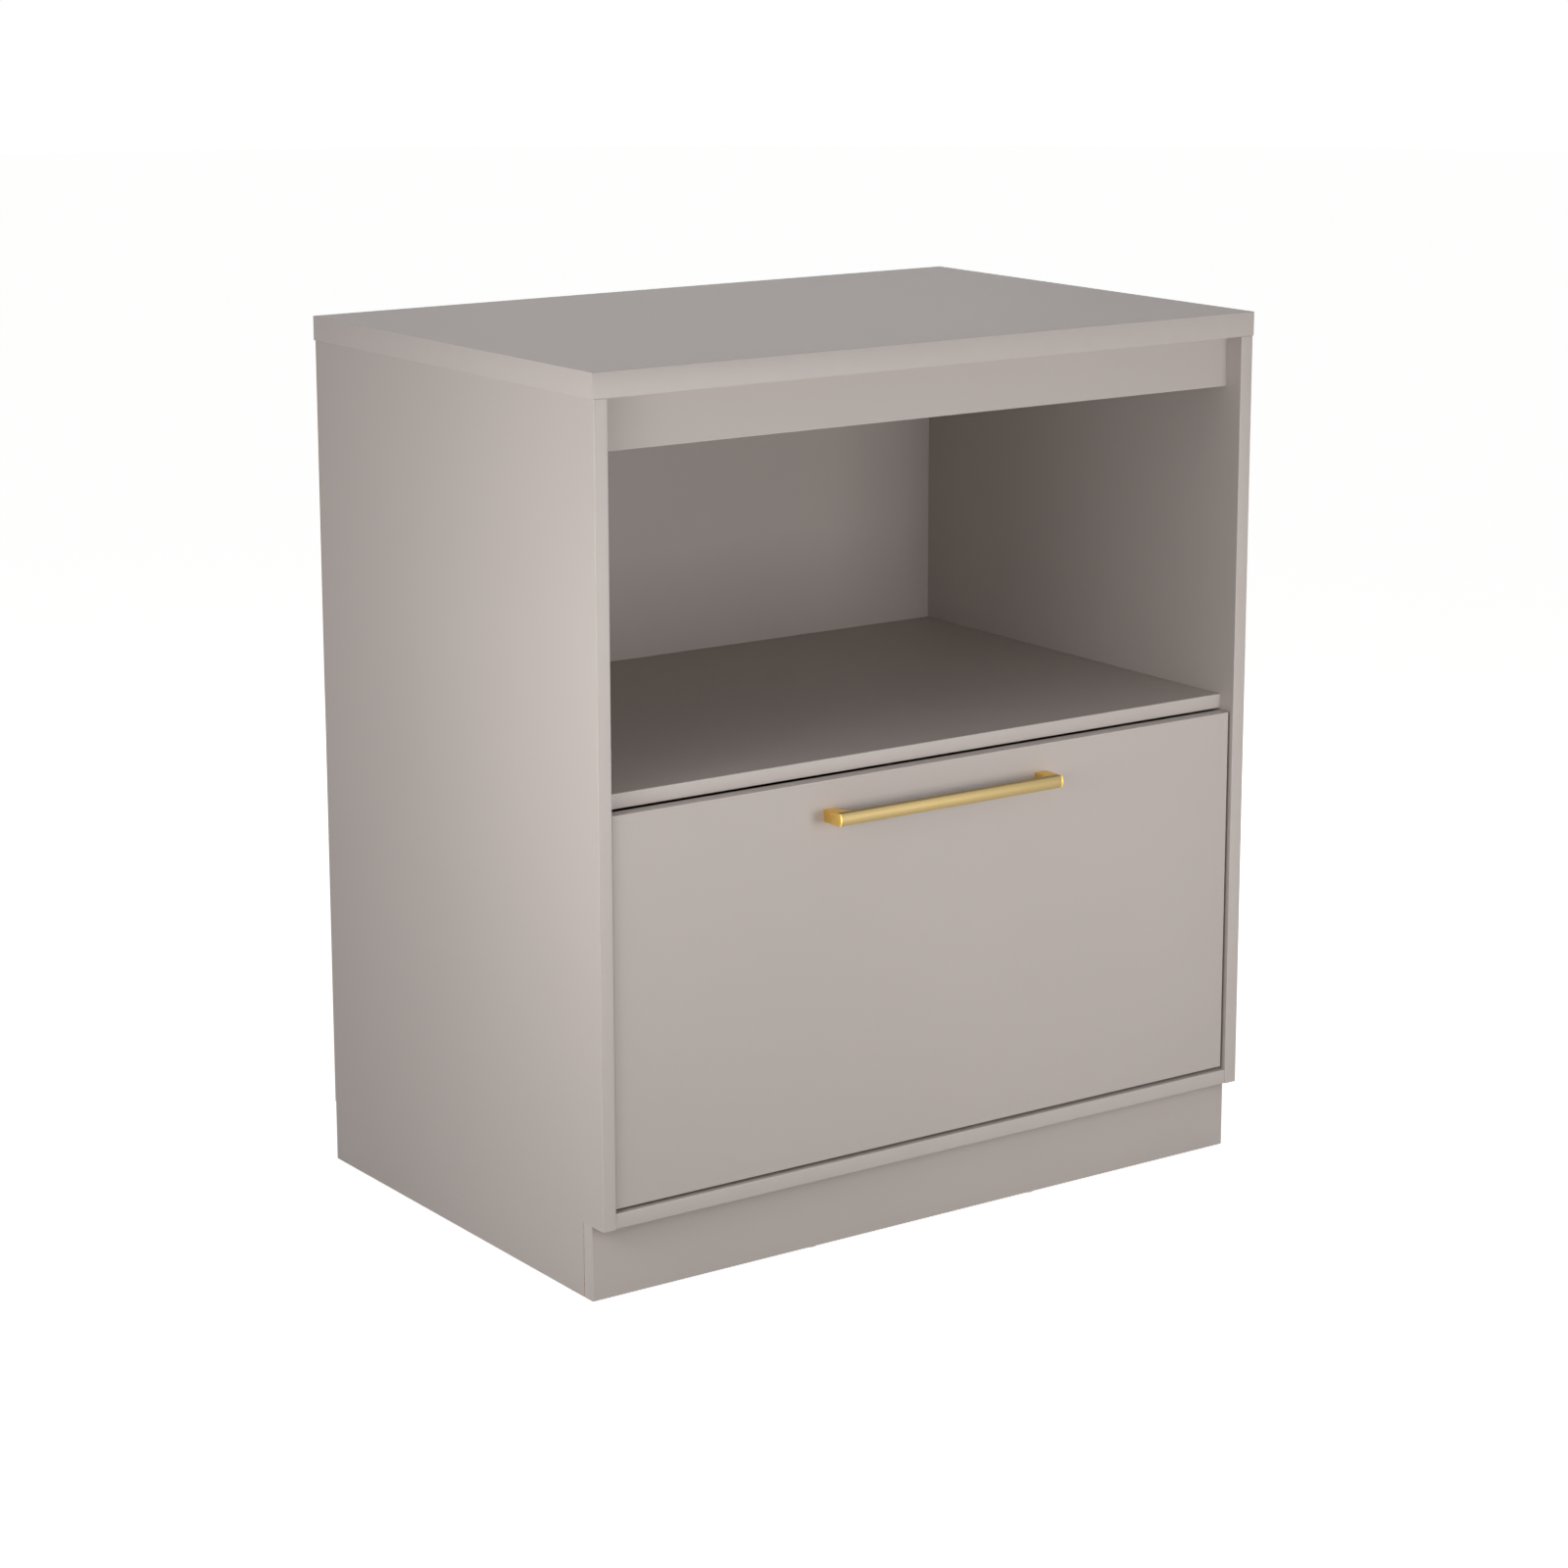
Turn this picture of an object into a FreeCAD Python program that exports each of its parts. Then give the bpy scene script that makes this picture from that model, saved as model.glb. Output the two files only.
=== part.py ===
import FreeCAD, Part
import math
import os

# A kitchen base cabinet of greige laminated board: a worktop, an open niche, and one deep inset drawer
# with a brass bar handle, on ball-bearing runners. Millimetres, +Z up, the front looks along -Y.
# The origin is on the floor, in the middle of the overall width and depth, handle included.

Vector = FreeCAD.Vector
along_x = Vector(1, 0, 0)
along_y = Vector(0, 1, 0)
along_z = Vector(0, 0, 1)

# Driving sizes of the carcass
worktop_width = 800.0
worktop_thickness = 25.0
worktop_overhang = 1.0        # past the outer face of each side
board = 15.0                  # every board of the carcass and of the drawer
back_thickness = 3.0
edging = 1.0                  # strip glued to each edge that shows
edging_ease = 0.6             # taken off that strip's outer arrises
side_height = 873.5
plinth_height = 75.5
plinth_setback = 20.0
rear_plinth_inset = 15.0      # from the boards' rear edges
bottom_setback = 1.0
shelf_top_height = 496.5      # niche floor, above the boards' bottom edges
shelf_setback = 21.0
front_rail_height = 53.0
front_rail_setback = 22.5
rear_rail_height = 100.0
back_lap = 13.0               # how far the back reaches below the top of the plinth

# Driving sizes of the drawer
front_setback = 4.5
front_side_gap = 2.5
front_top_gap = 1.5
front_bottom_gap = 3.3
box_height = 240.0
box_lift = 15.0               # from the bottom panel to the drawer box
drawer_bottom_thickness = 5.0
drawer_bottom_lift = 12.0
groove_depth = 7.0
groove_play = 0.2

# Handle: a D-shaped bar on two feet that also close its ends
handle_length = 276.0
handle_height = 12.3
handle_projection = 28.0
handle_bar_thickness = 9.0
handle_bulge = 2.0            # of the D's round front
handle_end_plate = 2.0
handle_hole_spacing = 256.0
handle_leg_width = 14.0
handle_leg_sweep = 8.0        # radius where a leg runs into the bar
handle_drop = 34.6            # from the front's top edge to the bar's middle
handle_screw_radius = 2.0
handle_screw_grip = 10.0      # thread inside the foot
handle_head_radius = 4.2
handle_head_height = 2.6

# Knock-down fittings
drum_sides = 10
rod_sides = 6
cam_radius = 7.5
cam_height = 12.0
cam_hole_depth = 12.5
cam_edge_distance = 34.0      # from the drum's axis to the joint
cam_slot_width = 7.0
cam_slot_past_axis = 1.5
driver_slot_length = 9.0
driver_slot_width = 1.6
driver_slot_depth = 2.0
bolt_channel_radius = 3.75
bolt_head_radius = 3.2
bolt_head_length = 3.0
bolt_neck_radius = 2.0
bolt_thread_radius = 2.6
bolt_thread_depth = 11.0
fitting_front_inset = 80.0    # front row of fittings, from the sides' front edges
fitting_rear_inset = 77.0     # rear row, from the boards' rear edges
box_cam_shares = (0.17, 0.83)
dowel_radius = 4.0
dowel_in_face = 11.0          # length in the board whose face is drilled
dowel_in_end = 22.0           # length in the board whose end is drilled
rail_dowel_shares = (0.25, 0.72)
plinth_dowel_shares = (0.28, 0.72)

# Floor glides
glide_height = 1.5
glide_radius = 7.0
glide_foot_radius = 6.0
glide_front_inset = 60.0
glide_rear_inset = 40.0
glide_middle_share = 0.36     # of the plinths' half width

# Blocks that join the front plinth to the bottom panel
corner_block_size = 22.0
corner_block_wall = 4.0
corner_block_width = 30.0
corner_block_spacing = 250.0

# Runners: three nested steel channels a side, the middle one coasting at half the drawer's travel
runner_width = 12.7
runner_length = 450.0
runner_front_gap = 2.0        # behind the back of the drawer front
runner_rear_gap = 3.0         # before the rear ends of the drawer's sides
box_rear_space = 52.5         # between the shut drawer and the back, which sets the cabinet's depth
runner_lift = 60.0            # from the drawer box's lower edge to the runner's middle
steel = 1.2
outer_half_height = 22.5
bend_round = 2.4
outer_ball_radius = 1.8
inner_ball_radius = 1.5
ball_play = 0.1
outer_ball_u = 6.4            # u runs from the side panel towards the drawer
inner_ball_u = 8.2
web_gap = 1.2                 # between the webs of the cabinet and the middle channels
lip_drop = 1.0
middle_lip_drop = 1.0
drawer_lip_rise = 0.3
cage_length = 180.0
cage_sheet = 0.5
cage_web_gap = 0.35           # from the cabinet channel's web
inner_cage_gap = 0.6          # from the middle channel's web
cage_rise = 0.8               # the inner cage's flange, above its balls' centres
balls_per_row = 3
ball_sides = 8
ball_latitudes = (-67.5, -22.5, 22.5, 67.5)
ball_end_margin = 15.0
buffer_length = 6.0
buffer_gap = 0.3
channel_rear_step = 2.0       # the drawer channel ends before the middle one
runner_screw_front_inset = 35.0
runner_screw_rear_inset = 31.0
runner_screw_head_radius = 3.6
runner_screw_radius = 1.8
runner_screw_depth = 11.5
lever_pivot_inset = 150.0
lever_reach = 55.0
lever_thickness = 2.2
lever_web_gap = 0.3
lever_hub_radius = 5.0
lever_tip_radius = 2.6
pivot_radius = 2.5
pivot_play = 0.06
pivot_stand = 0.5             # rivet's length past the lever

# Long screws through the drawer's sides into its back
box_screw_head_radius = 3.5
box_screw_head_height = 2.5
box_screw_radius = 2.2
box_screw_length = 45.0
box_screw_shares = (0.2, 0.8)

# Nails through the back
nail_head_radius = 2.4
nail_head_height = 1.4
nail_radius = 0.9
nail_length = 20.0
nail_side_shares = (0.08, 0.5, 0.92)
nail_shelf_share = 0.45       # of the shelf's half width

# Places that follow from the sizes above
box_depth = runner_front_gap + runner_length + runner_rear_gap
worktop_depth = front_setback + board + box_depth + box_rear_space + back_thickness
handle_reach = handle_projection - front_setback
front_y = -(worktop_depth - handle_reach) / 2
rear_y = front_y + worktop_depth - back_thickness
base_z = glide_height
top_z = base_z + side_height
outer_x = worktop_width / 2 - worktop_overhang
inner_x = outer_x - board
plinth_y = front_y + plinth_setback
plinth_top_z = base_z + plinth_height
bottom_top_z = plinth_top_z + board
shelf_top_z = base_z + shelf_top_height
shelf_z = shelf_top_z - board
rail_y = front_y + front_rail_setback
rail_z = top_z - front_rail_height
rear_rail_z = top_z - rear_rail_height
rear_plinth_y = rear_y - rear_plinth_inset - board
fitting_y = front_y + fitting_front_inset
fitting_rear_y = rear_y - fitting_rear_inset
dowel_y = (fitting_y + fitting_rear_y) / 2

front_face_y = front_y + front_setback
front_back_y = front_face_y + board
front_half_width = inner_x - front_side_gap
front_z = bottom_top_z + front_bottom_gap
front_top_z = shelf_z - front_top_gap
box_x = inner_x - runner_width
box_inner_x = box_x - board
box_z = bottom_top_z + box_lift
box_top_z = box_z + box_height
box_rear_y = front_back_y + box_depth
drawer_bottom_z = box_z + drawer_bottom_lift
drawer_bottom_top_z = drawer_bottom_z + drawer_bottom_thickness
runner_y = front_back_y + runner_front_gap
runner_z = box_z + runner_lift

solids = {}                   # node name to its separate solids
cutters = {}                  # node name to what is cut out of them


def add(node, *shapes):
    """Adds solids to a node."""
    solids.setdefault(node, []).extend(shapes)


def cut(node, *shapes):
    """Notes what has to be cut out of a node."""
    cutters.setdefault(node, []).extend(shapes)


def block(x0, x1, y0, y1, z0, z1):
    """A square-edged block between two opposite corners."""
    return Part.makeBox(x1 - x0, y1 - y0, z1 - z0, Vector(x0, y0, z0))


def panel(node, x0, x1, y0, y1, z0, z1):
    """A plain board as a node of its own."""
    add(node, block(x0, x1, y0, y1, z0, z1))


def edging_strip(corner, run, across, outward, width=board):
    """A strip on a board's edge, flat inside and with both outer arrises eased.
    run is the strip's whole length as a vector, across goes over the board's thickness."""
    outline = [(0, 0), (0, edging - edging_ease), (edging_ease, edging), (width - edging_ease, edging),
               (width, edging - edging_ease), (width, 0), (0, 0)]
    points = [corner + across * over + outward * out for over, out in outline]
    return Part.Face(Part.makePolygon(points)).extrude(run)


def ring(radius, centre, direction, sides):
    """The corners of a regular polygon square to a direction."""
    turn = FreeCAD.Rotation(along_z, direction)
    step = FreeCAD.Rotation(along_z, 360.0 / sides)
    spoke = Vector(radius, 0, 0)
    corners = []
    for _ in range(sides):
        corners.append(centre + turn.multVec(spoke))
        spoke = step.multVec(spoke)
    return corners


def flat_face(corners):
    """A plane face inside its corners."""
    return Part.Face(Part.makePolygon(corners + corners[:1]))


def turned(stations, start, direction, sides):
    """A small turned part, with few sides because it repeats. stations are pairs of distance and radius."""
    rings = [ring(radius, start + direction * distance, direction, sides) for distance, radius in stations]
    faces = [flat_face(rings[0]), flat_face(rings[-1])]
    for near, far in zip(rings, rings[1:]):
        for i in range(sides):
            faces.append(flat_face([near[i - 1], near[i], far[i], far[i - 1]]))
    return Part.Solid(Part.Shell(faces))


def rod(radius, start, direction, length, sides=rod_sides):
    """A straight round bar or bore."""
    return turned([(0, radius), (length, radius)], start, direction, sides)


def cam_joint(cam_board, bolt_board, mouth, out_of_face, to_bolt, cam_node, bolt_node):
    """A cam drum let into one board's face draws in a bolt that is screwed into the next board.
    mouth is the drum's middle on that face, and to_bolt points at the next board."""
    into = -out_of_face
    axis_point = mouth + into * (board / 2)
    sideways = out_of_face.cross(to_bolt)
    drum = rod(cam_radius, mouth, into, cam_height, drum_sides)
    slot = Part.makeBox(cam_slot_past_axis + cam_radius, cam_slot_width, cam_slot_width)
    slot.translate(Vector(-cam_slot_past_axis, -cam_slot_width / 2, -cam_slot_width / 2))
    slot.Placement = FreeCAD.Placement(
        axis_point, FreeCAD.Rotation(to_bolt, sideways, out_of_face, "XZY")).multiply(slot.Placement)
    drum = drum.cut(slot)
    corner = mouth - to_bolt * (driver_slot_length / 2) - sideways * (driver_slot_width / 2)
    driver_slot = Part.Face(Part.makePolygon([
        corner, corner + to_bolt * driver_slot_length,
        corner + to_bolt * driver_slot_length + sideways * driver_slot_width,
        corner + sideways * driver_slot_width, corner]))
    drum = drum.cut(driver_slot.extrude(into * driver_slot_depth))
    add(cam_node, drum)
    cut(cam_board, rod(cam_radius, mouth, into, cam_hole_depth, drum_sides),
        rod(bolt_channel_radius, axis_point, to_bolt, cam_edge_distance))
    add(bolt_node, turned([
        (0, bolt_head_radius), (bolt_head_length, bolt_head_radius), (bolt_head_length, bolt_neck_radius),
        (cam_edge_distance, bolt_neck_radius), (cam_edge_distance, bolt_thread_radius),
        (cam_edge_distance + bolt_thread_depth, bolt_thread_radius)], axis_point, to_bolt, rod_sides))
    cut(bolt_board, rod(bolt_thread_radius, axis_point + to_bolt * cam_edge_distance, to_bolt,
                        bolt_thread_depth))


def dowel_joint(end_board, face_board, at, to_face, node, in_end=dowel_in_end, in_face=dowel_in_face):
    """A glued dowel across a joint. at lies on the joint, to_face points into the face-drilled board."""
    start = at - to_face * in_end
    dowel = rod(dowel_radius, start, to_face, in_end + in_face)
    add(node, dowel)
    cut(end_board, dowel)
    cut(face_board, dowel)


# Worktop, with its four edges lipped
half_top = worktop_width / 2
worktop_top_z = top_z + worktop_thickness
worktop_rear_y = front_y + worktop_depth
panel("worktop", edging - half_top, half_top - edging, front_y + edging, worktop_rear_y - edging,
      top_z, worktop_top_z)
front_run = along_x * worktop_width
side_run = along_y * (worktop_depth - 2 * edging)
add("worktop_edging",
    edging_strip(Vector(-half_top, front_y + edging, top_z), front_run, along_z, -along_y, worktop_thickness),
    edging_strip(Vector(-half_top, worktop_rear_y - edging, top_z), front_run, along_z, along_y,
                 worktop_thickness),
    edging_strip(Vector(edging - half_top, front_y + edging, top_z), side_run, along_z, -along_x,
                 worktop_thickness),
    edging_strip(Vector(half_top - edging, front_y + edging, top_z), side_run, along_z, along_x,
                 worktop_thickness))

# Sides, notched below for the plinth, and the fittings that carry the worktop
for side, hand in (("left", -1), ("right", 1)):
    x0, x1 = sorted((hand * inner_x, hand * outer_x))
    name = side + "_side"
    panel(name, x0, x1, front_y + edging, rear_y, base_z, top_z)
    cut(name, block(x0, x1, front_y, plinth_y + board, base_z, plinth_top_z))
    add(name + "_edging", edging_strip(Vector(x0, front_y + edging, plinth_top_z),
                                       along_z * (side_height - plinth_height), along_x, -along_y))
    for y in (fitting_y, fitting_rear_y):
        cam_joint(name, "worktop", Vector(hand * inner_x, y, top_z - cam_edge_distance),
                  along_x * -hand, along_z, "carcass_cams", "carcass_cam_bolts")
    dowel_joint(name, "worktop", Vector(hand * (inner_x + board / 2), dowel_y, top_z),
                along_z, "carcass_dowels")

# Bottom panel and niche shelf, both hung between the sides on cams from below
for name, setback, z0 in (("bottom_panel", bottom_setback, plinth_top_z),
                          ("niche_shelf", shelf_setback, shelf_z)):
    panel(name, -inner_x, inner_x, front_y + setback + edging, rear_y, z0, z0 + board)
    add(name + "_edging", edging_strip(Vector(-inner_x, front_y + setback + edging, z0),
                                       along_x * (2 * inner_x), along_z, -along_y))
    for side, hand in (("left_side", -1), ("right_side", 1)):
        for y in (fitting_y, fitting_rear_y):
            cam_joint(name, side, Vector(hand * (inner_x - cam_edge_distance), y, z0),
                      -along_z, along_x * hand, "carcass_cams", "carcass_cam_bolts")
        dowel_joint(name, side, Vector(hand * inner_x, dowel_y, z0 + board / 2),
                    along_x * hand, "carcass_dowels")

# Rails under the worktop: the one that shows above the niche, and the one hidden at the back
panel("front_rail", -inner_x, inner_x, rail_y, rail_y + board, rail_z + edging, top_z)
add("front_rail_edging", edging_strip(Vector(-inner_x, rail_y, rail_z + edging), along_x * (2 * inner_x),
                                      along_y, -along_z))
panel("rear_rail", -inner_x, inner_x, rear_y - board, rear_y, rear_rail_z, top_z)
for name, height, middle_y in (("front_rail", front_rail_height, rail_y + board / 2),
                               ("rear_rail", rear_rail_height, rear_y - board / 2)):
    for side, hand in (("left_side", -1), ("right_side", 1)):
        for share in rail_dowel_shares:
            dowel_joint(name, side, Vector(hand * inner_x, middle_y, top_z - height * share),
                        along_x * hand, "carcass_dowels")

# Plinth: the front board laps the sides' notches, and its lipped ends lie flush with their outer faces
panel("front_plinth", edging - outer_x, outer_x - edging, plinth_y, plinth_y + board, base_z, plinth_top_z)
for hand in (-1, 1):
    add("front_plinth_edging", edging_strip(Vector(hand * (outer_x - edging), plinth_y, base_z),
                                            along_z * plinth_height, along_y, along_x * hand))
panel("rear_plinth", -inner_x, inner_x, rear_plinth_y, rear_plinth_y + board, base_z, plinth_top_z)
for share in plinth_dowel_shares:
    for side, hand in (("left_side", -1), ("right_side", 1)):
        z = base_z + plinth_height * share
        dowel_joint(side, "front_plinth", Vector(hand * (inner_x + board / 2), plinth_y + board, z),
                    -along_y, "plinth_dowels")
        dowel_joint("rear_plinth", side, Vector(hand * inner_x, rear_plinth_y + board / 2, z),
                    along_x * hand, "plinth_dowels")

# Blocks with a gusset, behind the front plinth and under the bottom panel
for place in (-1, 0, 1):
    x0 = place * corner_block_spacing - corner_block_width / 2
    y0 = plinth_y + board
    outline = Part.makePolygon([
        Vector(x0, y0, plinth_top_z), Vector(x0, y0 + corner_block_size, plinth_top_z),
        Vector(x0, y0 + corner_block_size, plinth_top_z - corner_block_wall),
        Vector(x0, y0 + corner_block_wall, plinth_top_z - corner_block_size),
        Vector(x0, y0, plinth_top_z - corner_block_size), Vector(x0, y0, plinth_top_z)])
    add("plinth_blocks", Part.Face(outline).extrude(along_x * corner_block_width))

# Back: a thin sheet nailed over the boards' rear edges, under the worktop's rear overhang
back_z = plinth_top_z - back_lap
panel("back_panel", worktop_overhang - outer_x, outer_x - worktop_overhang, rear_y, rear_y + back_thickness,
      back_z, top_z)
for side, hand in (("left_side", -1), ("right_side", 1)):
    nailed = [(side, inner_x + board / 2, back_z + (top_z - back_z) * share) for share in nail_side_shares]
    nailed += [("bottom_panel", inner_x * nail_shelf_share, plinth_top_z + board / 2),
               ("niche_shelf", inner_x * nail_shelf_share, shelf_z + board / 2)]
    for name, x, z in nailed:
        nail = turned([(0, nail_head_radius), (nail_head_height, nail_radius), (nail_length, nail_radius)],
                      Vector(hand * x, rear_y + back_thickness, z), -along_y, rod_sides)
        add("back_panel_nails", nail)
        cut("back_panel", nail)
        cut(name, nail)

# Hard glides under the sides and the plinths
glide_half = inner_x * glide_middle_share
side_mid_x = inner_x + board / 2
for x, y in ((glide_half, plinth_y + board / 2), (glide_half, rear_plinth_y + board / 2),
             (side_mid_x, front_y + glide_front_inset), (side_mid_x, rear_y - glide_rear_inset)):
    for hand in (-1, 1):
        add("floor_glides", turned([(0, glide_foot_radius), (glide_height, glide_radius)],
                                   Vector(hand * x, y, 0), along_z, drum_sides))

# Drawer front, lipped all round, with a stopped groove for the drawer's bottom
panel("drawer_front", edging - front_half_width, front_half_width - edging, front_face_y, front_back_y,
      front_z + edging, front_top_z - edging)
for hand in (-1, 1):
    add("drawer_front_edging", edging_strip(
        Vector(hand * (front_half_width - edging), front_face_y, front_z),
        along_z * (front_top_z - front_z), along_y, along_x * hand))
    start_z = front_top_z - edging if hand > 0 else front_z + edging
    add("drawer_front_edging", edging_strip(
        Vector(edging - front_half_width, front_face_y, start_z),
        along_x * (2 * (front_half_width - edging)), along_y, along_z * hand))

# Drawer box: two sides with lipped top edges, a back that stands on the bottom, and the bottom in grooves
groove_top_z = drawer_bottom_top_z + groove_play
bottom_half_width = box_inner_x + groove_depth - groove_play
bottom_front_y = front_back_y - groove_depth + groove_play
back_y = box_rear_y - board
for side, hand in (("left", -1), ("right", 1)):
    x0, x1 = sorted((hand * box_inner_x, hand * box_x))
    name = "drawer_" + side + "_side"
    panel(name, x0, x1, front_back_y, box_rear_y, box_z, box_top_z - edging)
    add("drawer_box_edging", edging_strip(Vector(x0, front_back_y, box_top_z - edging), along_y * box_depth,
                                          along_x, along_z))
    groove_x = sorted((hand * box_inner_x, hand * (box_inner_x + groove_depth)))
    cut(name, block(*groove_x, front_back_y, box_rear_y, drawer_bottom_z, groove_top_z))
    for share in box_cam_shares:
        cam_joint(name, "drawer_front", Vector(hand * box_inner_x, front_back_y + cam_edge_distance,
                                               box_z + box_height * share),
                  along_x * -hand, -along_y, "drawer_cams", "drawer_cam_bolts")
    for share in box_screw_shares:
        z = drawer_bottom_top_z + (box_top_z - drawer_bottom_top_z) * share
        screw = turned([(0, box_screw_head_radius), (box_screw_head_height, box_screw_radius),
                        (box_screw_length, box_screw_radius)],
                       Vector(hand * box_x, back_y + board / 2, z), along_x * -hand, rod_sides)
        add("drawer_back_screws", screw)
        cut(name, screw)
        cut("drawer_back", screw)
panel("drawer_back", -box_inner_x, box_inner_x, back_y, box_rear_y, drawer_bottom_top_z, box_top_z - edging)
add("drawer_box_edging", edging_strip(Vector(-box_inner_x, back_y, box_top_z - edging),
                                      along_x * (2 * box_inner_x), along_y, along_z))
panel("drawer_bottom", -bottom_half_width, bottom_half_width, bottom_front_y, box_rear_y,
      drawer_bottom_z, drawer_bottom_top_z)
cut("drawer_front", block(-box_inner_x - groove_depth, box_inner_x + groove_depth,
                          front_back_y - groove_depth, front_back_y, drawer_bottom_z, groove_top_z))

# Handle: the bar and, mirrored, the two feet, all cut from one D-shaped silhouette
bar_front_y = front_face_y - handle_projection
bar_back_y = bar_front_y + handle_bar_thickness
handle_z = front_top_z - handle_drop
half_bar = handle_length / 2
diagonal_share = 0.5 ** 0.5   # of a quarter arc's radius, out to its middle along each axis


def handle_silhouette(x, back, length):
    """The D's outline from its round front to a flat back, run along X."""
    low = handle_z - handle_height / 2
    high = handle_z + handle_height / 2
    shoulder = bar_front_y + handle_bulge
    nose = Part.Arc(Vector(x, shoulder, high), Vector(x, bar_front_y, handle_z), Vector(x, shoulder, low))
    edges = [Part.makeLine(Vector(x, back, high), Vector(x, shoulder, high)), nose.toShape(),
             Part.makeLine(Vector(x, shoulder, low), Vector(x, back, low)),
             Part.makeLine(Vector(x, back, low), Vector(x, back, high))]
    return Part.Face(Part.Wire(edges)).extrude(along_x * length)


add("handle_bar", handle_silhouette(handle_end_plate - half_bar, bar_back_y,
                                    handle_length - 2 * handle_end_plate))
for side, hand in (("left", -1), ("right", 1)):
    end_x = hand * half_bar
    plate_x = hand * (half_bar - handle_end_plate)
    leg_x = hand * (half_bar - handle_leg_width)
    sweep_x = leg_x - hand * handle_leg_sweep
    sweep_y = bar_back_y + handle_leg_sweep
    low = handle_z - handle_height / 2
    bend = handle_leg_sweep * diagonal_share
    sweep = Part.Arc(Vector(sweep_x, bar_back_y, low), Vector(sweep_x + hand * bend, sweep_y - bend, low),
                     Vector(leg_x, sweep_y, low))
    corners = [Vector(leg_x, sweep_y, low), Vector(leg_x, front_face_y, low),
               Vector(end_x, front_face_y, low), Vector(end_x, bar_front_y, low),
               Vector(plate_x, bar_front_y, low), Vector(plate_x, bar_back_y, low),
               Vector(sweep_x, bar_back_y, low)]
    edges = [sweep.toShape()] + [Part.makeLine(a, b) for a, b in zip(corners, corners[1:])]
    leg = Part.Face(Part.Wire(Part.__sortEdges__(edges))).extrude(along_z * handle_height)
    foot = leg.common(handle_silhouette(-half_bar, front_face_y, handle_length))
    hole_at = Vector(hand * handle_hole_spacing / 2, front_back_y, handle_z)
    shank_length = board + handle_screw_grip
    shank = rod(handle_screw_radius, hole_at, -along_y, shank_length)
    head = rod(handle_head_radius, hole_at, along_y, handle_head_height, drum_sides)
    name = "handle_" + side + "_foot"
    add(name, foot)
    cut(name, shank)
    cut("drawer_front", shank)
    add("handle_screws", shank.fuse(head))

# Runner sections. u runs from the side panel towards the drawer, v up from the runner's middle
outer_ball_v = outer_half_height - steel - ball_play - outer_ball_radius
middle_half_height = outer_ball_v - outer_ball_radius - ball_play
inner_ball_v = middle_half_height - steel - ball_play - inner_ball_radius
drawer_half_height = inner_ball_v - inner_ball_radius - ball_play
outer_race = outer_ball_radius + ball_play
inner_race = inner_ball_radius + ball_play
middle_web_u = steel + web_gap


def flange_line(place, web_u, lip_u, height, web_round, lip_round, lip_end):
    """One flange's line, from the middle of the web out to the end of the lip.
    The lip turns towards lip_end, back to the middle or away from it."""
    reach = 1 if lip_u > web_u else -1
    turn = 1 if lip_end > height else -1
    web_middle = (web_u + reach * web_round, height - web_round)
    lip_middle = (lip_u - reach * lip_round, height + turn * lip_round)
    web_arc = Part.Arc(place(web_u, height - web_round),
                       place(web_middle[0] - reach * web_round * diagonal_share,
                             web_middle[1] + web_round * diagonal_share),
                       place(web_middle[0], height))
    lip_arc = Part.Arc(place(lip_middle[0], height),
                       place(lip_middle[0] + reach * lip_round * diagonal_share,
                             lip_middle[1] - turn * lip_round * diagonal_share),
                       place(lip_u, lip_middle[1]))
    return [Part.makeLine(place(web_u, 0), place(web_u, height - web_round)), web_arc.toShape(),
            Part.makeLine(place(web_middle[0], height), place(lip_middle[0], height)), lip_arc.toShape(),
            Part.makeLine(place(lip_u, lip_middle[1]), place(lip_u, lip_end))]


def channel(hand, web_u, lip_u, height, web_round, lip_round, lip_end, sheet, y0, length):
    """A rolled channel: a flat web with a flange and a lip above and below."""
    reach = 1 if lip_u > web_u else -1
    turn = 1 if lip_end > height else -1
    edges = []
    for up in (-1, 1):
        def place(u, v):
            return Vector(hand * (inner_x - u), y0, runner_z + up * v)

        edges += flange_line(place, web_u, lip_u, height, web_round, lip_round, lip_end)
        edges += flange_line(place, web_u + reach * sheet, lip_u + turn * reach * sheet, height - sheet,
                             web_round - sheet, lip_round + turn * sheet, lip_end)
        edges.append(Part.makeLine(place(lip_u, lip_end), place(lip_u + turn * reach * sheet, lip_end)))
    return Part.Face(Part.Wire(Part.__sortEdges__(edges))).extrude(along_y * length)


def small_ball(radius, centre):
    """A bearing ball with few facets, through rings of points on its sphere."""
    stations = []
    for latitude in ball_latitudes:
        rise = radius * math.sin(math.radians(latitude))
        stations.append((radius + rise, radius * math.cos(math.radians(latitude))))
    return turned(stations, centre - along_y * radius, along_y, ball_sides)


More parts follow.
